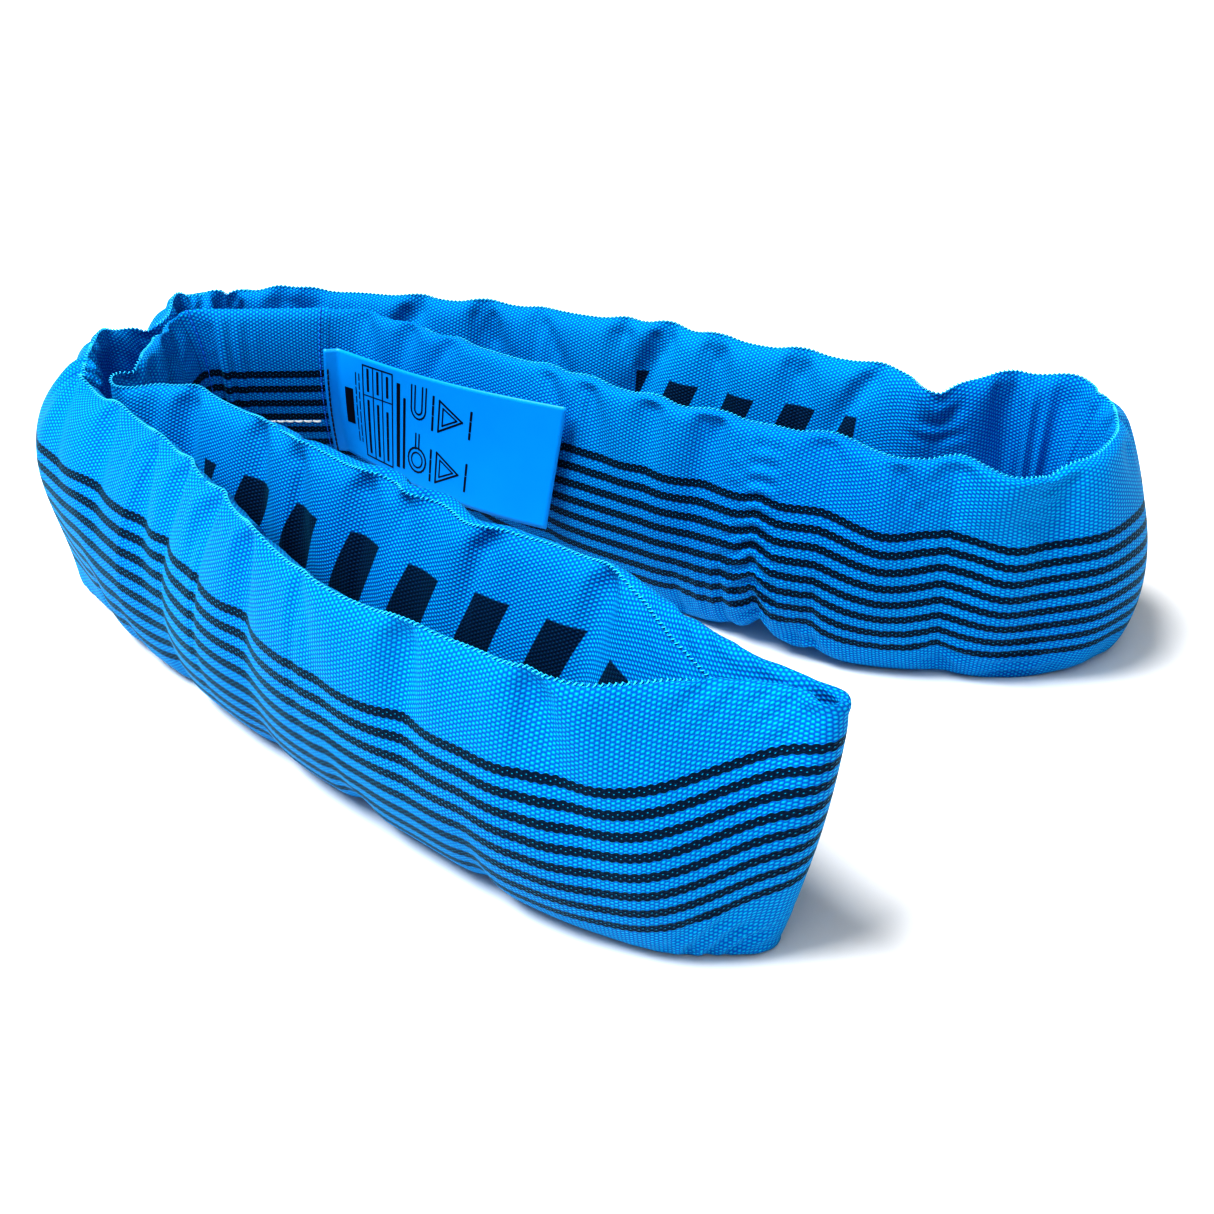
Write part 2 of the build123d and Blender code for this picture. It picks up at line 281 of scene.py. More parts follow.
def gathered():
    """The filled sleeve with its folds."""
    rng = np.random.default_rng(SEED)
    lean, height, rise = route.lean.copy(), route.height.copy(), np.full(route.count, FLOOR_GAP)
    v = np.arange(ROUND_COUNT) / ROUND_COUNT
    down = (np.abs(2 * v - 1) * FACE)[None, :]
    up = FACE - down
    side = np.where(v <= 0.5, 1.0, -1.0)[None, :]
    dent = np.zeros((route.count, ROUND_COUNT))
    for place in gathers(rng, *TOP_GAPS):
        away = from_place(place)
        cusp = np.exp(-np.abs(away) / (5 * MM))
        height += rng.uniform(*TOP_RISES) * MM * cusp
        lean += rng.normal(0, TOP_LEAN) * MM * cusp
        depth, reach = rng.uniform(*TOP_DEPTHS) * MM, rng.uniform(*TOP_REACHES) * MM
        slant = rng.normal(0, TOP_SLANT)
        share = np.where(side > 0, rng.uniform(0.4, 1.0), rng.uniform(0.6, 1.3))
        dent += fold(away, down, depth * share, reach, slant, TOP_FOLD)
    for x, y, depth, reach, lift in PLEATS:
        away = from_place(route.along[route.nearest(x, y)])
        height += lift * MM * np.exp(-np.abs(away) / (6 * MM))
        dent += fold(away, down, depth * MM, reach * MM, 0, PLEAT_FOLD)
    for x, y, lift in LIFTS:
        away = from_place(route.along[route.nearest(x, y)])
        rise += lift * MM * np.exp(-np.abs(away) / (7 * MM))
    for place in gathers(rng, *FOOT_GAPS):
        away = from_place(place)
        rise += rng.uniform(0.3, 1.0) ** 2 * 5 * MM * np.exp(-(np.abs(away) / (7 * MM)) ** 1.3)
        depth, reach = rng.uniform(*FOOT_DEPTHS) * MM, rng.uniform(*FOOT_REACHES) * MM
        slant = rng.normal(0, FOOT_SLANT)
        dent += fold(away, up, depth, reach, slant, FOOT_FOLD)
    half = np.where(side > 0, route.half_left[:, None], route.half_right[:, None]) * MM
    dent = np.minimum(dent, MOST_DENT * (EDGE + half * np.sin(pi * up / FACE) ** LENS_POWER))
    height -= height.mean() - route.height.mean()
    base = laid_out(lean, height, rise)
    dent -= smooth_ring(dent, 20.0)
    base[..., :2] -= route.left[:, None, :] * (side * dent)[..., None]
    return base


# ---- The cloth: springs on the grid, pulled to the filled tube's shape ----
RELAX_STEPS = 150


def pull(cloth, along, round_, rest, strength):
    """One relaxation of the springs from each point to the point this many steps away."""
    there = np.roll(cloth, (-along, -round_), (0, 1))
    gap = there - cloth
    size = np.sqrt((gap * gap).sum(2))
    move = gap * (strength * (size - rest) / np.maximum(size, 1e-6))[..., None]
    cloth += move
    cloth -= np.roll(move, (along, round_), (0, 1))


def relaxed():
    """The sleeve as cloth that is a little longer than its core."""
    base = gathered()
    v = np.arange(ROUND_COUNT) / ROUND_COUNT
    fullness = np.sin(pi * (1 - np.abs(2 * v - 1)))
    step = np.linalg.norm(np.roll(base, -1, 0) - base, axis=2)
    centre_step = route.length / route.count
    along_rest = smooth_ring(np.clip(step, 0.9 * centre_step, 1.3 * centre_step), 4.0)
    along_rest *= 1.04 - 0.01 * fullness
    round_rest = 2 * FACE / ROUND_COUNT
    shear_rest = np.sqrt(along_rest ** 2 + round_rest ** 2)
    springs = (  # steps along and round, rest length, strength
        (3, 0, 3 * along_rest, 0.025), (1, 1, shear_rest, 0.04), (1, -1, shear_rest, 0.04),
        (1, 0, along_rest, 0.2), (0, 1, round_rest, 0.24),
    )
    hold = (0.035 + 0.03 * fullness)[None, :, None]
    cloth = base.copy()
    for _ in range(RELAX_STEPS):
        cloth += (base - cloth) * hold
        for spring in springs:
            pull(cloth, *spring)
        cloth[..., 2] = np.maximum(cloth[..., 2], FLOOR_GAP)
    return cloth


def finer(grid, times, axis):
    """A closed grid with this many times the points along one axis, on smooth curves through the old ones."""
    grid = np.moveaxis(grid, axis, 0)
    before, after, beyond = np.roll(grid, 1, 0), np.roll(grid, -1, 0), np.roll(grid, -2, 0)
    rows = []
    for k in range(times):
        x = k / times
        rows.append(0.5 * (2 * grid + (after - before) * x
                           + (2 * before - 5 * grid + 4 * after - beyond) * x ** 2
                           + (3 * grid - before - 3 * after + beyond) * x ** 3))
    fine = np.stack(rows, 1).reshape(-1, *grid.shape[1:])
    return np.moveaxis(fine, 0, axis)


sleeve = finer(finer(relaxed(), FINE_ALONG, 0), FINE_ROUND, 1)
ALONG, ROUND = sleeve.shape[:2]  # rows along the loop, and points round each
RIDGE = ROUND // 2  # the upper edge's point in each row, where the lower edge's is 0
U_STEP = route.length / ALONG  # from row to row and from point to point, on the flat cloth
V_STEP = 2 * FACE / ROUND


def normals_of(grid):
    """Outward normals of a closed grid."""
    along = np.roll(grid, -1, 0) - np.roll(grid, 1, 0)
    round_ = np.roll(grid, -1, 1) - np.roll(grid, 1, 1)
    normal = np.cross(round_, along)
    return normal / np.maximum(np.linalg.norm(normal, axis=2), 1e-12)[..., None]


sleeve_normals = normals_of(sleeve)


def distances(line):
    """How far each point of an open line is from its start, along the line."""
    return np.concatenate([[0], np.cumsum(np.linalg.norm(np.diff(line, axis=0), axis=1))])


def row_at(x, y):
    """The row of the fine grid nearest to a place in plan, in millimetres."""
    return route.nearest(x, y) * FINE_ALONG


LABEL_START = row_at(-139, 82)  # where the label's tail ends and its free part starts
CUFF_START, CUFF_END = LABEL_START + 4, row_at(-196, 44)


CUTS = {  # where each length ends, in plan
    "front": ((-80, -46), (-80, -103)),
    "fold_outer": ((-80, -103), (-230, 35)),
    "rear": ((-230, 35), (-194, 25)),
    "fold_inner": ((-194, 25), (-80, -46)),
}


def span(name):
    """The grid rows of one length, running on past the grid's end where the loop closes."""
    first, last = [row_at(*place) for place in CUTS[name]]
    if last <= first:
        last += ALONG
    return np.arange(first, last + 1)


def new_mesh(name, points, faces, material, smooth=True):
    """A mesh object from points and faces."""
    mesh = bpy.data.meshes.new(name)
    mesh.from_pydata([tuple(p) for p in points], [], faces)
    mesh.materials.append(material)
    if smooth:
        mesh.shade_smooth()
    piece = bpy.data.objects.new(name, mesh)
    bpy.context.scene.collection.objects.link(piece)
    return piece


def add_uv(piece, corner_uv):
    """A UV map in metres, one pair for each corner of each face."""
    layer = piece.data.uv_layers.new(name="Cloth")
    layer.data.foreach_set("uv", np.asarray(corner_uv, np.float32).ravel())


def bend(piece):
    """Bake the piece's placement into its mesh."""
    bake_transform(piece)


def grid_piece(name, rows, columns, points, normals, material, closed):
    """A mesh from rows and columns of a grid, with its UV map in metres."""
    count_u, count_v = len(rows), len(columns)
    i, j = np.meshgrid(np.arange(count_u - 1), np.arange(count_v if closed else count_v - 1), indexing="ij")
    i, j = i.ravel(), j.ravel()
    k = (j + 1) % count_v
    faces = np.stack([i * count_v + j, i * count_v + k, (i + 1) * count_v + k, (i + 1) * count_v + j], 1)
    piece = new_mesh(name, points.reshape(-1, 3), faces.tolist(), material)
    u = rows[i] * U_STEP
    v = columns[j] * V_STEP
    uv = np.stack([
        np.stack([u, v], 1), np.stack([u, v + V_STEP], 1),
        np.stack([u + U_STEP, v + V_STEP], 1), np.stack([u + U_STEP, v], 1),
    ], 1)
    add_uv(piece, uv)
    piece.data.normals_split_custom_set_from_vertices([tuple(n) for n in normals.reshape(-1, 3)])
    return piece


# ---- Materials ----
class Nodes:
    """A short way to write shader nodes."""

    def __init__(self, name):
        self.material = bpy.data.materials.new(name)
        self.material.use_nodes = True
        self.tree = self.material.node_tree
        self.shader = self.tree.nodes["Principled BSDF"]

    def add(self, kind, **settings):
        """A new node with these settings."""
        node = self.tree.nodes.new(kind)
        for key, value in settings.items():
            setattr(node, key, value)
        return node

    def put(self, socket, value):
        """Give a socket a link or a constant."""
        if isinstance(value, bpy.types.NodeSocket):
            self.tree.links.new(value, socket)
        else:
            socket.default_value = value

    def math(self, operation, a, b=0.0, c=0.0, clamp=False):
        node = self.add("ShaderNodeMath", operation=operation, use_clamp=clamp)
        for socket, value in zip(node.inputs, (a, b, c)):
            self.put(socket, value)
        return node.outputs[0]

    def mix(self, factor, a, b):
        node = self.add("ShaderNodeMix", data_type="RGBA")
        self.put(node.inputs["Factor"], factor)
        self.put(node.inputs["A"], a)
        self.put(node.inputs["B"], b)
        return node.outputs["Result"]

    def smoothstep(self, value, low, high):
        node = self.add("ShaderNodeMapRange", interpolation_type="SMOOTHSTEP")
        for key, given in (("Value", value), ("From Min", low), ("From Max", high)):
            self.put(node.inputs[key], given)
        return node.outputs[0]

    def uv(self):
        """The two coordinates of the cloth's UV map."""
        node = self.add("ShaderNodeUVMap", uv_map="Cloth")
        split = self.add("ShaderNodeSeparateXYZ")
        self.put(split.inputs[0], node.outputs[0])
        return split.outputs[0], split.outputs[1]

    def noise(self, scale, detail):
        """Noise that stays with the object."""
        node = self.add("ShaderNodeTexNoise")
        node.inputs["Scale"].default_value = scale
        node.inputs["Detail"].default_value = detail
        self.put(node.inputs["Vector"], self.add("ShaderNodeTexCoord").outputs["Object"])
        return node.outputs[0]

    def bump(self, height, distance, strength):
        node = self.add("ShaderNodeBump")
        node.inputs["Distance"].default_value = distance
        node.inputs["Strength"].default_value = strength
        self.put(node.inputs["Height"], height)
        self.put(self.shader.inputs["Normal"], node.outputs[0])

    def surface(self, **values):
        """Set inputs of the surface's shader, with _ for a space in their names."""
        for key, value in values.items():
            self.put(self.shader.inputs[key.replace("_", " ")], value)


def plain_material(name, colour, roughness):
    """One colour all over."""
    n = Nodes(name)
    n.surface(Base_Color=colour, Roughness=roughness)
    return n.material


COLUMN_PAIR = 3.0 * MM  # from float to float along the sleeve
STRIPE_WANDER = 0.3 * MM  # how far each stripe winds to and fro
# The cloth's blue on the floats' tops, made lighter as a painted highlight, and in the gaps between floats,
# made darker as painted shade
BLUE_FLOAT_HIGHLIGHT = (0.0, 0.48, 0.71, 1)
BLUE_GAP_SHADE = (0.0, 0.11, 0.42, 1)
BLACK = (0.006, 0.008, 0.016, 1)
STRIPE_FIRST = 37.0 * MM  # from the upper edge down to the first stripe
STRIPE_PITCH = 8.3 * MM
FLOAT = STRIPE_PITCH / 5  # from float to float round the sleeve
STRIPE_COUNT = 8
STRIPE_HALF = 1.9 * MM
PRINT_TOP = 26 * MM  # the printed bars, measured down from the upper edge
PRINT_FOOT = 80 * MM
PRINT_SLANT = 0.35
PRINT_SHARE = 0.5  # how much of each pitch is bar


def weave(n, u, v):
    """The height of the weave, from 0 to 1: wide short floats in columns that alternate."""
    columns = n.math("SINE", n.math("MULTIPLY", u, 2 * pi / COLUMN_PAIR))
    floats = n.math("SINE", n.math("MULTIPLY", v, 2 * pi / FLOAT))
    return n.math("MULTIPLY", n.math("MULTIPLY_ADD", columns, floats, n.math("ABSOLUTE", columns)), 0.5)


def stripes(n, u, v, height):
    """1 on the black stripes of the outward face: two rows of links, with a blue float in each link."""
    below = n.math("SUBTRACT", FACE, v)
    turn = n.math("DIVIDE", n.math("SUBTRACT", below, STRIPE_FIRST - STRIPE_PITCH / 2), STRIPE_PITCH)
    offset = n.math("MULTIPLY", n.math("SUBTRACT", n.math("FRACT", turn), 0.5), STRIPE_PITCH)
    wander = n.math("MULTIPLY", n.math("SINE", n.math("MULTIPLY", u, 2 * pi / COLUMN_PAIR)), STRIPE_WANDER)
    away = n.math("ABSOLUTE", n.math("ADD", offset, wander))
    band = n.math("SUBTRACT", 1.0, n.smoothstep(away, STRIPE_HALF - 0.15 * MM, STRIPE_HALF + 0.1 * MM))
    hole = n.math("MULTIPLY", n.smoothstep(height, 0.78, 0.95),
                  n.math("SUBTRACT", 1.0, n.smoothstep(away, 0.55 * FLOAT, 0.65 * FLOAT)))
    inside = n.math("MULTIPLY", n.math("GREATER_THAN", turn, 0.0),
                    n.math("LESS_THAN", turn, float(STRIPE_COUNT)))
    whole = n.math("MULTIPLY", band, inside)
    return n.math("MULTIPLY", whole, n.math("MULTIPLY_ADD", hole, -0.75, 1.0))


def sleeve_material(name, printed):
    """Blue polyester. printed lists stretches of the inward face with bold slanted bars, and their pitch."""
    n = Nodes(name)
    u, v = n.uv()
    height = weave(n, u, v)
    cloud = n.noise(9.0, 3.0)
    # Painted highlight and shade: the floats' tops are painted lighter and the gaps between them darker, with
    # a random cloudy tone added
    tone = n.math("MULTIPLY_ADD", n.math("SUBTRACT", cloud, 0.5), 0.35, height, clamp=True)
    colour = n.mix(tone, BLUE_GAP_SHADE, BLUE_FLOAT_HIGHLIGHT)
    colour = n.mix(n.math("MULTIPLY", stripes(n, u, v, height), 0.97), colour, BLACK)
    for first, last, pitch in printed:
        below = n.math("SUBTRACT", v, FACE)
        slant = n.math("MULTIPLY_ADD", below, PRINT_SLANT, n.math("SUBTRACT", u, first))
        bar = n.math("FRACT", n.math("DIVIDE", slant, pitch))
        ink = n.math("MULTIPLY", n.smoothstep(bar, 0.0, 0.02),
                     n.math("SUBTRACT", 1.0, n.smoothstep(bar, PRINT_SHARE, PRINT_SHARE + 0.02)))
        tall = n.math("MULTIPLY", n.smoothstep(below, PRINT_TOP, PRINT_TOP + MM),
                      n.math("SUBTRACT", 1.0, n.smoothstep(below, PRINT_FOOT, PRINT_FOOT + MM)))
        wide = n.math("MULTIPLY", n.math("GREATER_THAN", u, first), n.math("LESS_THAN", u, last))
        mask = n.math("MULTIPLY", n.math("MULTIPLY", ink, tall), wide)
        colour = n.mix(n.math("MULTIPLY", mask, 0.93), colour, BLACK)
    n.surface(Base_Color=colour, Roughness=0.62, Specular_IOR_Level=0.5, Specular_Tint=(0.08, 0.45, 1.0, 1))
    n.surface(Sheen_Weight=0.15, Sheen_Roughness=0.4, Sheen_Tint=(0.1, 0.75, 1.0, 1))
    n.bump(height, 0.45 * MM, 0.7)
    return n.material


# ---- The sleeve's four lengths ----
SLEEVE_STANDS_FOR = {
    "front": ("sleeve_front_eye", "sleeve_front_outer", "sleeve_front_inner"),
    "fold_outer": ("sleeve_rear_outer",),
    "rear": ("sleeve_rear_eye",),
    "fold_inner": ("sleeve_rear_inner",),
}


def stands_for(length, kind):
    """The CAD nodes of another kind in the same stretch as this length of the sleeve."""
    return [node.replace("sleeve", kind) for node in SLEEVE_STANDS_FOR[length]]


def u_at(x, y):
    """How far along the cloth a place in plan is, in the units of the UV map."""
    return row_at(x, y) * U_STEP


cloth_blue = sleeve_material("sleeve_cloth", (
    (u_at(-120, -30), route.length + u_at(134, -107), 36 * MM), (u_at(0, 142), u_at(116, 141), 30 * MM),
))
all_columns = np.arange(ROUND)
for length in CUTS:
    rows = span(length)
    wrapped = rows % ALONG
    piece = grid_piece(f"sleeve_{length}_cloth", rows, all_columns, sleeve[wrapped],
                       sleeve_normals[wrapped], cloth_blue, closed=True)
    bend(piece)
    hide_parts(*SLEEVE_STANDS_FOR[length])


# ---- Yarns ----
YARN_R = 3.95 * MM
YARN_PITCH = 8.8 * MM
YARN_ROWS = (2, 3, 3, 3, 2)  # bundles side by side at each level, from the lowest up
BELLY_Z = 46 * MM  # height of the middle level
YARN_SIDES = 8
YARN_CLEAR = 3.0 * MM  # from the sleeve to the bundles
YARN_STEP = 3  # rows of the sleeve's grid from point to point along a yarn


def tube_mesh(lines, radii, sides, upright=(0, 0, 1)):
    """Points and faces of tubes along lines of points. Upright is a direction that no line runs along."""
    points, faces = [], []
    for line, radius in zip(lines, radii):
        along = np.gradient(line, axis=0)
        along /= np.linalg.norm(along, axis=1)[:, None]
        side = np.cross(along, np.array(upright, float))
        side /= np.linalg.norm(side, axis=1)[:, None]
        up = np.cross(side, along)
        first = len(points)
        angles = np.arange(sides) * 2 * pi / sides
        ring = side[:, None] * np.cos(angles)[None, :, None] + up[:, None] * np.sin(angles)[None, :, None]
        points.extend((line[:, None] + ring * np.reshape(radius, (-1, 1, 1))).reshape(-1, 3))
        for i in range(len(line) - 1):
            for k in range(sides):
                a, b = first + i * sides + k, first + i * sides + (k + 1) % sides
                faces.append((a, b, b + sides, a + sides))
        faces.append(tuple(first + k for k in reversed(range(sides))))
        last = first + (len(line) - 1) * sides
        faces.append(tuple(last + k for k in range(sides)))
    return points, faces


def yarn_material():
    """White polyester yarn."""
    n = Nodes("yarn_bundle")
    grain = n.noise(900.0, 3.0)
    n.surface(Base_Color=n.mix(grain, (0.62, 0.61, 0.57, 1), (0.90, 0.90, 0.87, 1)), Roughness=0.55)
    n.bump(grain, 0.3 * MM, 0.6)
    return n.material


def faces_at(row, heights):
    """The two faces of one section of the sleeve, in plan, at each of these heights."""
    ring = sleeve[row]
    foot, top = int(np.argmin(ring[:, 2])), int(np.argmax(ring[:, 2]))
    found = []
    for first, last, step in ((foot, top, 1), (foot, top, -1)):
        count = (last - first) * step % ROUND
        side = ring[(first + step * np.arange(count + 1)) % ROUND]
        climb = np.maximum.accumulate(side[:, 2])
        found.append(np.stack([np.interp(heights, climb, side[:, k]) for k in (0, 1)], 1))
    return found


def narrowest(values):
    """Values along an open line: the least of the five round each, averaged with its neighbours."""
    wide = np.concatenate([values[:1], values[:1], values, values[-1:], values[-1:]])
    least = np.min([wide[k:k + len(values)] for k in range(5)], axis=0)
    wide = np.concatenate([least[:1], least, least[-1:]])
    return 0.25 * wide[:-2] + 0.5 * wide[1:-1] + 0.25 * wide[2:]


yarn_white = yarn_material()
yarn_heights = BELLY_Z + (np.arange(len(YARN_ROWS)) - (len(YARN_ROWS) - 1) / 2) * YARN_PITCH
for length in CUTS:
    rows = span(length)[::YARN_STEP] % ALONG
    near, far = np.moveaxis(np.array([faces_at(row, yarn_heights) for row in rows]), 1, 0)
    room = narrowest(np.linalg.norm(far - near, axis=2))
    lines, radii = [], []
    for level, count in enumerate(YARN_ROWS):
        free = np.maximum(room[:, level] - 2 * YARN_CLEAR, 2 * MM)
        radius = np.minimum(YARN_R, free / (2 * count) * 0.9)
        for column in range(count):
            share = 0.5 + (column - (count - 1) / 2) / count * free / np.maximum(room[:, level], MM)
            plan = near[:, level] + (far - near)[:, level] * share[:, None]
            lines.append(np.concatenate([plan, np.full((len(rows), 1), yarn_heights[level])], 1))
            radii.append(radius)
    piece = new_mesh(f"yarns_{length}", *tube_mesh(lines, radii, YARN_SIDES), yarn_white)
    bend(piece)
    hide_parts(*stands_for(length, "core_yarns"))


# ---- The thread that locks the upper edge ----
STITCH_PITCH = 2.1 * MM
STITCH_HALF = 0.9 * MM  # half of a stitch's length along the edge
STITCH_WIDE = 0.7 * MM  # how far its ends stand out to each side
STITCH_DOWN = 0.3 * MM  # how far its ends go down
STITCH_UP = 0.4 * MM  # how far its middle stands above the edge
THREAD_R = 0.28 * MM


def thread_material(name, low, high):
    """Thread between these two colours."""
    n = Nodes(name)
    grain = n.noise(2200.0, 2.0)
    n.surface(Base_Color=n.mix(grain, low, high), Roughness=0.6)
    n.bump(grain, 0.15 * MM, 0.5)
    return n.material


edge_light = thread_material("edge_thread_light", (0.0, 0.45, 0.90, 1), (0.12, 0.85, 1.0, 1))
for length in CUTS:
    rows = span(length)
    line = sleeve[rows % ALONG, RIDGE]
    at = distances(line)
    lines = []
    for place in np.arange(STITCH_PITCH, at[-1] - STITCH_PITCH, STITCH_PITCH):
        if CUFF_START < np.interp(place, at, rows) < CUFF_END:
            continue
        start, end = [np.array([np.interp(place + step, at, line[:, k]) for k in range(3)])
                      for step in (-STITCH_HALF, STITCH_HALF)]
        side = np.cross(end - start, (0, 0, 1))
        side /= np.linalg.norm(side)
        top = (start + end) / 2 + np.array([0, 0, STITCH_UP])
        down = (0, 0, STITCH_DOWN)
        lines.append(np.array([start + side * STITCH_WIDE - down, top + side * 0.3 * MM,
                               top - side * 0.3 * MM, end - side * STITCH_WIDE - down]))
    tubes = tube_mesh(lines, [THREAD_R] * len(lines), 5, upright=(0.3, 0.2, 0.9))
    piece = new_mesh(f"edge_stitches_{length}", *tubes, edge_light)
    bend(piece)
    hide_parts(*stands_for(length, "edge_thread"))


# ---- The cuff, where one end of the sleeve is drawn over the other ----
CUFF_WALL = 1.2 * MM
CUFF_GAP = 0.15 * MM  # from the sleeve to the cuff's drawn-down edges
TRIM_LOW = 4 * MM  # the cuff and its seams stop this far above the sleeve's lower edge


def over_sleeve(rows, columns, lift):
    """Points this far outside the sleeve."""
    rows, columns = np.ix_(rows % ALONG, columns % ROUND)
    return sleeve[rows, columns] + sleeve_normals[rows, columns] * lift[..., None]


def hem(count, turn):
    """0 at both ends of a run and 1 inside, so that an edge is drawn down to the cloth below."""
    steps = np.arange(count)
    return np.clip(np.minimum(steps, count - 1 - steps) / turn, 0, 1) ** 0.5


cuff_rows = np.arange(CUFF_START, CUFF_END + 1)
trim_columns = np.arange(round(TRIM_LOW / V_STEP), ROUND - round(TRIM_LOW / V_STEP) + 1)
cuff_lift = CUFF_GAP + CUFF_WALL * np.outer(hem(len(cuff_rows), 2), hem(len(trim_columns), 2))
cuff = grid_piece("join_cuff_cloth", cuff_rows, trim_columns, over_sleeve(cuff_rows, trim_columns, cuff_lift),
                  sleeve_normals[np.ix_(cuff_rows, trim_columns)], cloth_blue, closed=False)
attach(cuff, "rear_limb")
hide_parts("join_cuff")


# ---- Sewing on the cuff ----
def line_over(rows, columns, lift):
    """A line of points over the sleeve, one for each pair of a row and a column, which may be fractions."""
    rows, columns = np.broadcast_arrays(np.asarray(rows, float), np.asarray(columns, float))
    found = 0
    for a in (0, 1):
        for b in (0, 1):
            i, j = np.floor(rows).astype(int) + a, np.floor(columns).astype(int) + b
            share = np.abs(1 - a - rows % 1) * np.abs(1 - b - columns % 1)
            i, j = i % ALONG, j % ROUND
            found = found + (sleeve[i, j] + sleeve_normals[i, j] * lift) * share[:, None]
    return found


def sewn(rows, columns, lift, pitch, share, radius):
    """Stitches along a line over the sleeve: tubes over this share of the pitch that dip at both ends."""
    line = line_over(rows, columns, lift)
    at = distances(line)
    lines, radii = [], []
    for start in np.arange(0, at[-1] - pitch, pitch):
        places = start + np.linspace(0, share, 5) * pitch
        index = np.interp(places, at, np.arange(len(line)))
        i = np.interp(index, np.arange(len(line)), rows)
        j = np.interp(index, np.arange(len(line)), np.broadcast_to(columns, len(line)))
        dip = radius * np.array([1.2, 0.2, 0, 0.2, 1.2])
        flat = line_over(i, j, 0)
        lines.append(flat + (line_over(i, j, MM) - flat) / MM * (lift - dip)[:, None])
        radii.append(radius)
    return lines, radii


def stitch_piece(name, stitches, material, node):
    """One piece made of a row of stitches."""
    piece = new_mesh(name, *tube_mesh(*stitches, 6, upright=(0.2, 0.3, 0.93)), material)
    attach(piece, "rear_limb")
    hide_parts(node)


seam_blue = thread_material("seam_thread_blue", (0.0, 0.10, 0.50, 1), (0.02, 0.30, 0.85, 1))
label_black = thread_material("label_thread_black", (0.004, 0.004, 0.006, 1), (0.03, 0.03, 0.04, 1))
join_white = thread_material("join_thread_white", (0.55, 0.55, 0.52, 1), (0.95, 0.95, 0.92, 1))
seam_columns = np.arange(trim_columns[0] + 2, trim_columns[-1] - 1)
for end, row in (("label_end", CUFF_START + 3), ("fold_end", CUFF_END - 3)):
    seam = sewn(np.full(len(seam_columns), row), seam_columns,
                lift=1.6 * MM, pitch=3.2 * MM, share=0.8, radius=0.33 * MM)
    stitch_piece(f"seam_stitches_{end}", seam, seam_blue, f"join_seam_{end}")

JOIN_DOWN = 64.8 * MM  # from the upper edge down to the running thread
join_rows = np.arange(CUFF_START + 5, CUFF_END - 5, 0.5)
join = sewn(join_rows, np.full(len(join_rows), (FACE - JOIN_DOWN) / V_STEP),
            lift=1.9 * MM, pitch=4.6 * MM, share=0.86, radius=0.62 * MM)
stitch_piece("join_running_thread", join, join_white, "join_thread")


# ---- The label: one sheet, sewn down at its tail and free beyond ----
LABEL_TALL = 60 * MM
LABEL_TAIL = 8 * MM
LABEL_THICK = 0.6 * MM
LABEL_LIFT = 1.9 * MM  # from the sleeve to the middle of the sewn tail, over the cuff
LABEL_FOOT = 31 * MM  # from the sleeve's lower edge up to the label's
LABEL_TOP_END = np.array([5, 53, 95]) * MM  # corners of the free end
LABEL_LOW_END = np.array([-3, 41, 35]) * MM
LABEL_SOFT = 0.35  # the share of the free length over which it flattens from the sewn tail's shape
LABEL_BOW = 6 * MM  # how far its middle bows out towards -Y
LABEL_CURL = 5 * MM  # how far its lower free corner turns back towards +Y
LABEL_CELLS = 30  # cells of its grid from the lower edge up
TAIL_CELLS = 5
FREE_CELLS = 59


def label_surface():
    """Middle of the label: points from the tail's end to the free end, and from the lower edge up."""
    up = np.linspace(0, 1, LABEL_CELLS + 1)
    columns = (LABEL_FOOT + up * LABEL_TALL) / V_STEP
    tail_rows = np.linspace(LABEL_START + LABEL_TAIL / U_STEP, LABEL_START, TAIL_CELLS + 1)
    rows = [line_over(np.full(len(up), row), columns, LABEL_LIFT) for row in tail_rows]
    sewn_edge = rows[-1]
    flat_edge = sewn_edge[:1] + (sewn_edge[-1:] - sewn_edge[:1]) * up[:, None]
    free = LABEL_LOW_END + (LABEL_TOP_END - LABEL_LOW_END) * up[:, None]
    for part in np.linspace(0, 1, FREE_CELLS + 1)[1:]:
        straight = flat_edge * (1 - part) + free * part
        fade = (1 - min(1, part / LABEL_SOFT)) ** 2
        straight[:, 1] += -LABEL_BOW * sin(pi * part) + LABEL_CURL * part ** 4 * (1 - up)
        rows.append(straight + (sewn_edge - flat_edge) * fade)
    return np.array(rows)


label_grid = label_surface()
label_at = distances(label_grid[:, LABEL_CELLS // 2])
label_out = np.cross(np.gradient(label_grid, axis=0), np.gradient(label_grid, axis=1))
label_out /= np.linalg.norm(label_out, axis=2)[..., None]


def on_label(a, b, lift):
    """Points this far from the label's sewn end, up from its lower edge and off its middle."""
    rows = np.interp(a, label_at, np.arange(len(label_at)))
    columns = np.clip(np.asarray(b) / LABEL_TALL, 0, 1) * LABEL_CELLS
    found = 0
    for p in (0, 1):
        for q in (0, 1):
            i = np.minimum(np.floor(rows).astype(int) + p, len(label_at) - 1)
            j = np.minimum(np.floor(columns).astype(int) + q, LABEL_CELLS)
            share = np.abs(1 - p - rows % 1) * np.abs(1 - q - columns % 1)
            found = found + (label_grid[i, j] + label_out[i, j] * lift) * share[:, None]
    return found


def label_material():
    """Smooth coated sheet, with a faint cloudy tone."""
    n = Nodes("label_stock")
    grain = n.noise(40.0, 2.0)
    colour = n.mix(grain, (0.0, 0.29, 0.75, 1), (0.0, 0.33, 0.75, 1))
    n.surface(Base_Color=colour, Roughness=0.42, Specular_IOR_Level=0.3)
    n.bump(n.noise(1500.0, 2.0), 0.05 * MM, 0.3)
    return n.material


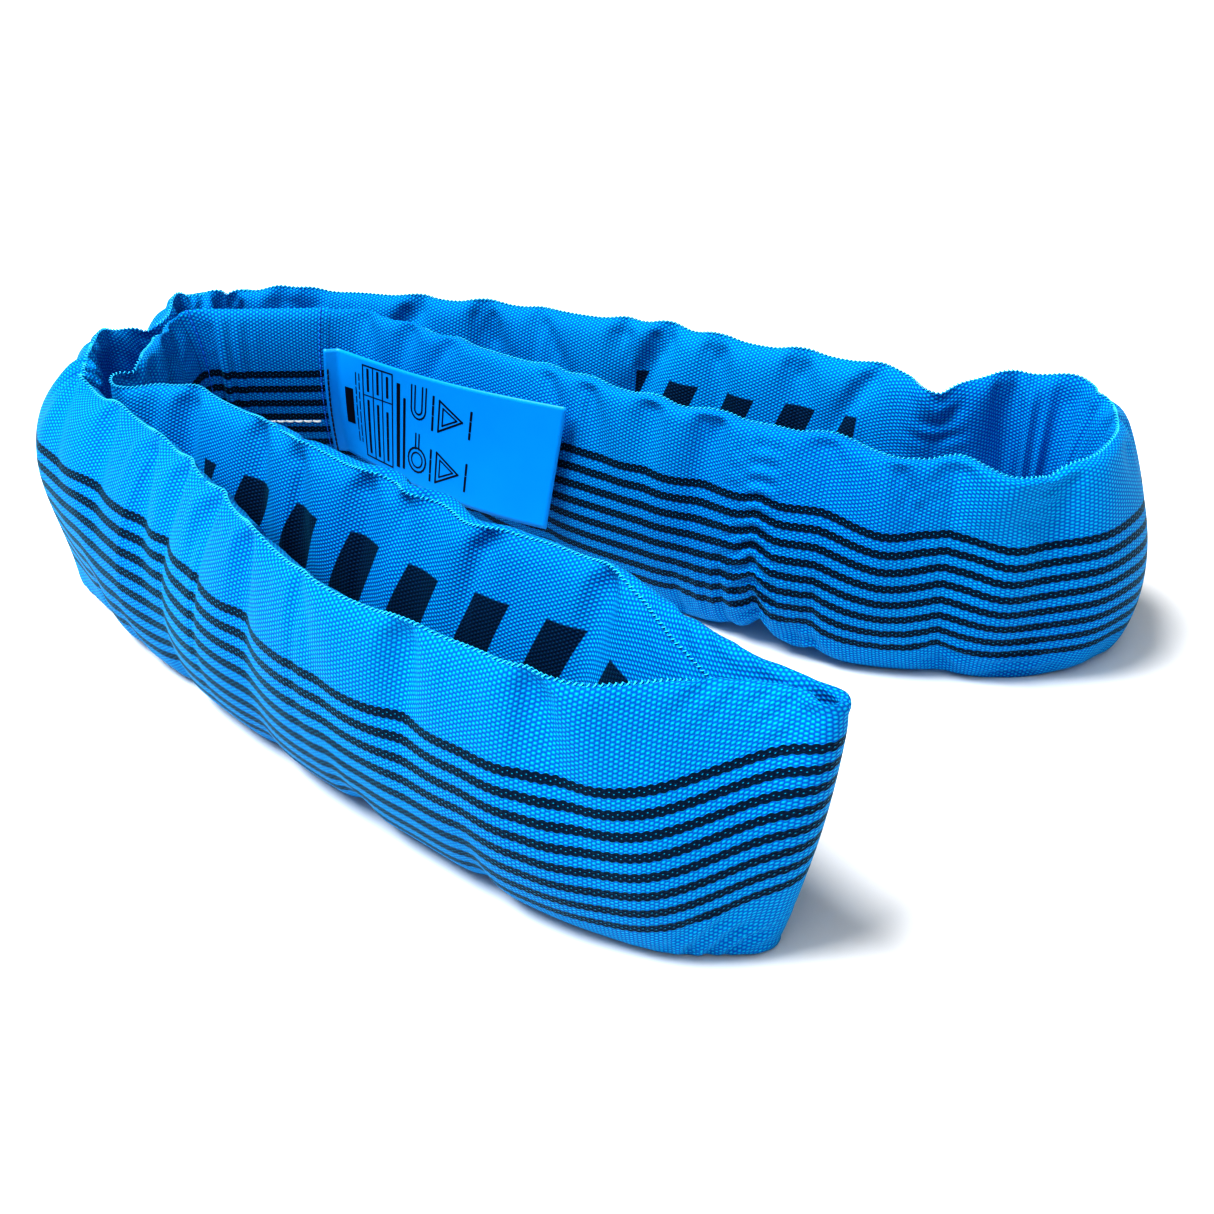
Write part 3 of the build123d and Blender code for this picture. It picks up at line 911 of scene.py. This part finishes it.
def label_mesh():
    """Points and faces of the label: its two sides, and the rim between them."""
    half_out = label_out * LABEL_THICK / 2
    points = np.concatenate([(label_grid + half_out).reshape(-1, 3), (label_grid - half_out).reshape(-1, 3)])
    rows, columns = label_grid.shape[:2]
    back = rows * columns
    faces = []
    for i in range(rows - 1):
        for j in range(columns - 1):
            a, b = i * columns + j, (i + 1) * columns + j
            faces += [(a, b, b + 1, a + 1), (back + a, back + a + 1, back + b + 1, back + b)]
    rim = [i * columns for i in range(rows)] + [(rows - 1) * columns + j for j in range(1, columns)]
    rim += [i * columns + columns - 1 for i in range(rows - 2, -1, -1)] + list(range(columns - 2, 0, -1))
    faces += [(a, back + a, back + b, b) for a, b in zip(rim, rim[1:] + rim[:1])]
    return points, faces


def bend_label(piece):
    """Bake the piece's placement into its mesh."""
    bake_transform(piece)


label = new_mesh("label_sheet", *label_mesh(), label_material())
bend_label(label)
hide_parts("label_tail", "label_flap")


# ---- What is printed on the label: a table, bars in place of words, and outlines of ways to hang a load ----
def stroke(points, width, closed=False):
    """A thick line through points in millimetres from the label's sewn edge and up from its lower edge."""
    points = np.array(points + points[:1] if closed else points, float) * MM
    quads = []
    for first, last in zip(points[:-1], points[1:]):
        along = last - first
        size = np.linalg.norm(along)
        if size < 0.01 * MM:
            continue
        along /= size
        side = np.array([-along[1], along[0]]) * width * MM / 2
        first, last = first - along * width * MM / 2, last + along * width * MM / 2
        steps = np.linspace(0, 1, max(2, int(size / (3 * MM)) + 1))
        for p, q in zip(steps[:-1], steps[1:]):
            a, b = first + (last - first) * p, first + (last - first) * q
            quads.append((a - side, b - side, b + side, a + side))
    return quads


def bars(a, low, high, width, rng):
    """A line of bars of uneven length, as words would stand."""
    quads, b = [], low
    while b < high - 2:
        size = min(rng.uniform(2, 7), high - b)
        quads += stroke([(a, b), (a, b + size)], width)
        b += size + 1.6
    return quads


def ring_points(a, b, radius, first=0, last=360):
    """Points of a circle on the label, or of an arc between two angles in degrees."""
    return [(a + radius * cos(radians(t)), b + radius * sin(radians(t))) for t in range(first, last + 1, 20)]


def label_ink():
    """Every stroke that is printed on the label."""
    rng = np.random.default_rng(SEED)
    ink = stroke([(7, 24), (7, 38)], 6)
    for a in (12.5, 15):
        ink += bars(a, 12, 52, 0.6, rng)
    ink += stroke([(18, 5), (40, 5), (40, 56), (18, 56)], 0.7, closed=True)
    for a in (25.5, 32.5):
        ink += stroke([(a, 5), (a, 56)], 0.6)
    ink += stroke([(18, 40), (40, 40)], 0.5)
    for a in (21.7, 29, 36.2):
        ink += bars(a, 8, 37, 1.5, rng) + bars(a, 43, 54, 1.5, rng)
    ink += bars(44.5, 8, 52, 2.4, rng) + bars(49, 8, 46, 1.6, rng)
    ink += stroke([(54, 54), (54, 42)] + ring_points(59, 42, 5, 180, 360) + [(64, 54)], 0.8)
    ink += stroke([(56.5, 54), (56.5, 42)] + ring_points(59, 42, 2.5, 180, 360) + [(61.5, 54)], 0.8)
    ink += stroke(ring_points(59, 15, 6.5), 0.9) + stroke(ring_points(59, 15, 4), 0.7)
    ink += stroke([(57.8, 21), (57.8, 29)], 0.8) + stroke([(60.2, 21), (60.2, 29)], 0.8)
    for a, b, turn in ((80, 42, 1), (80, 15, -1)):
        ink += stroke([(a - 7, b - 8 * turn), (a + 8, b), (a - 7, b + 8 * turn)], 0.9, closed=True)
        ink += stroke([(a - 4.5, b - 4.5 * turn), (a + 4.5, b), (a - 4.5, b + 4.5 * turn)], 0.7, closed=True)
        ink += bars(a - 11, b - 8, b + 9, 1.2, rng) + bars(a + 13, b - 7, b + 9, 1.2, rng)
    return ink


INK_LIFT = 0.12 * MM
corners = np.array(label_ink()).reshape(-1, 2)
ink_points = on_label(corners[:, 0] + LABEL_TAIL, corners[:, 1], LABEL_THICK / 2 + INK_LIFT)
ink_faces = [tuple(range(i, i + 4)) for i in range(0, len(corners), 4)]
ink_black = plain_material("label_ink", (0.006, 0.008, 0.02, 1), 0.5)
label_print = new_mesh("label_print", ink_points, ink_faces, ink_black, smooth=False)
bend_label(label_print)

LABEL_SEWING = 6.0 * MM  # from the sewn edge to the row of stitches
sewing_columns = np.arange(28 * MM / V_STEP, 84 * MM / V_STEP, 0.5)
sewing = sewn(np.full(len(sewing_columns), LABEL_START + LABEL_SEWING / U_STEP), sewing_columns,
              lift=LABEL_LIFT + 0.5 * MM, pitch=3.0 * MM, share=0.86, radius=0.42 * MM)
stitch_piece("label_sewing", sewing, label_black, "label_stitches")


# ---- The tape that ties the hank's ends, round one bundle ----
TAPE_WALL = 0.4 * MM
tie_rows = np.arange(row_at(12, 141), row_at(42, 141))
near, far = np.moveaxis(np.array([faces_at(row, [BELLY_Z]) for row in tie_rows]), 1, 0)
tie_line = np.concatenate([(near + far)[:, 0] / 2, np.full((len(tie_rows), 1), BELLY_Z)], 1)
tape = plain_material("tie_tape", (0.75, 0.70, 0.45, 1), 0.4)
tie = new_mesh("yarn_tie", *tube_mesh([tie_line], [YARN_R + TAPE_WALL], 16), tape)
bend(tie)
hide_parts("yarn_end_tie")


# ---- Studio ----
FLOOR_RADIUS = 8.0
FLOOR_WALL = 2.2  # height of the pale wall round the floor
FLOOR_SIDES = 48
SKY_LIGHT = 0.10
SUNS = (  # name, the place that it shines from, power, and how wide and so how soft it is, in degrees
    ("overhead", (-0.62, -0.45, 1.4), 3.5, 32),
    ("front", (0.5, -0.9, 1.3), 0.9, 60),
)
CAMERA_PLACE = (0.3315, -0.5352, 0.38)
CAMERA_TILT = 60.0
CAMERA_TURN = 27.5
CAMERA_LENS = 47.95


def studio():
    """A pale floor with a low pale wall far out, soft light and the camera."""
    scene = bpy.context.scene
    scene.view_settings.view_transform = "Standard"
    scene.view_settings.look = "Very High Contrast"
    turns = np.arange(FLOOR_SIDES) * 2 * pi / FLOOR_SIDES
    ring = [(FLOOR_RADIUS * cos(t), FLOOR_RADIUS * sin(t)) for t in turns]
    points = [(x, y, z) for z in (0, 0, FLOOR_WALL) for x, y in ring]
    low = [FLOOR_SIDES + k for k in range(FLOOR_SIDES)]
    walls = [(a, a + FLOOR_SIDES, b + FLOOR_SIDES, b) for a, b in zip(low, low[1:] + low[:1])]
    floor = bpy.data.objects.new("floor", bpy.data.meshes.new("floor"))
    floor.data.from_pydata(points, [], [tuple(range(FLOOR_SIDES))] + walls)
    for wall in floor.data.polygons[1:]:
        wall.use_smooth = True
    floor.data.materials.append(plain_material("floor_paper", (0.8, 0.8, 0.8, 1), 0.9))
    scene.collection.objects.link(floor)
    world = bpy.data.worlds.new("studio")
    world.use_nodes = True
    background = world.node_tree.nodes["Background"]
    background.inputs["Color"].default_value = (1, 1, 1, 1)
    background.inputs["Strength"].default_value = SKY_LIGHT
    scene.world = world
    for name, place, power, angle in SUNS:
        light = bpy.data.objects.new(name, bpy.data.lights.new(name, "SUN"))
        light.data.energy = power
        light.data.angle = radians(angle)
        light.location = place
        light.rotation_euler = (-Vector(place)).to_track_quat("-Z", "Y").to_euler()
        scene.collection.objects.link(light)
    camera = bpy.data.objects.new("camera", bpy.data.cameras.new("camera"))
    camera.data.sensor_width = 36.0
    camera.data.lens = CAMERA_LENS
    camera.location = CAMERA_PLACE
    camera.rotation_euler = (radians(CAMERA_TILT), 0, radians(CAMERA_TURN))
    camera.data.clip_start = 0.01
    scene.collection.objects.link(camera)
    scene.camera = camera


studio()
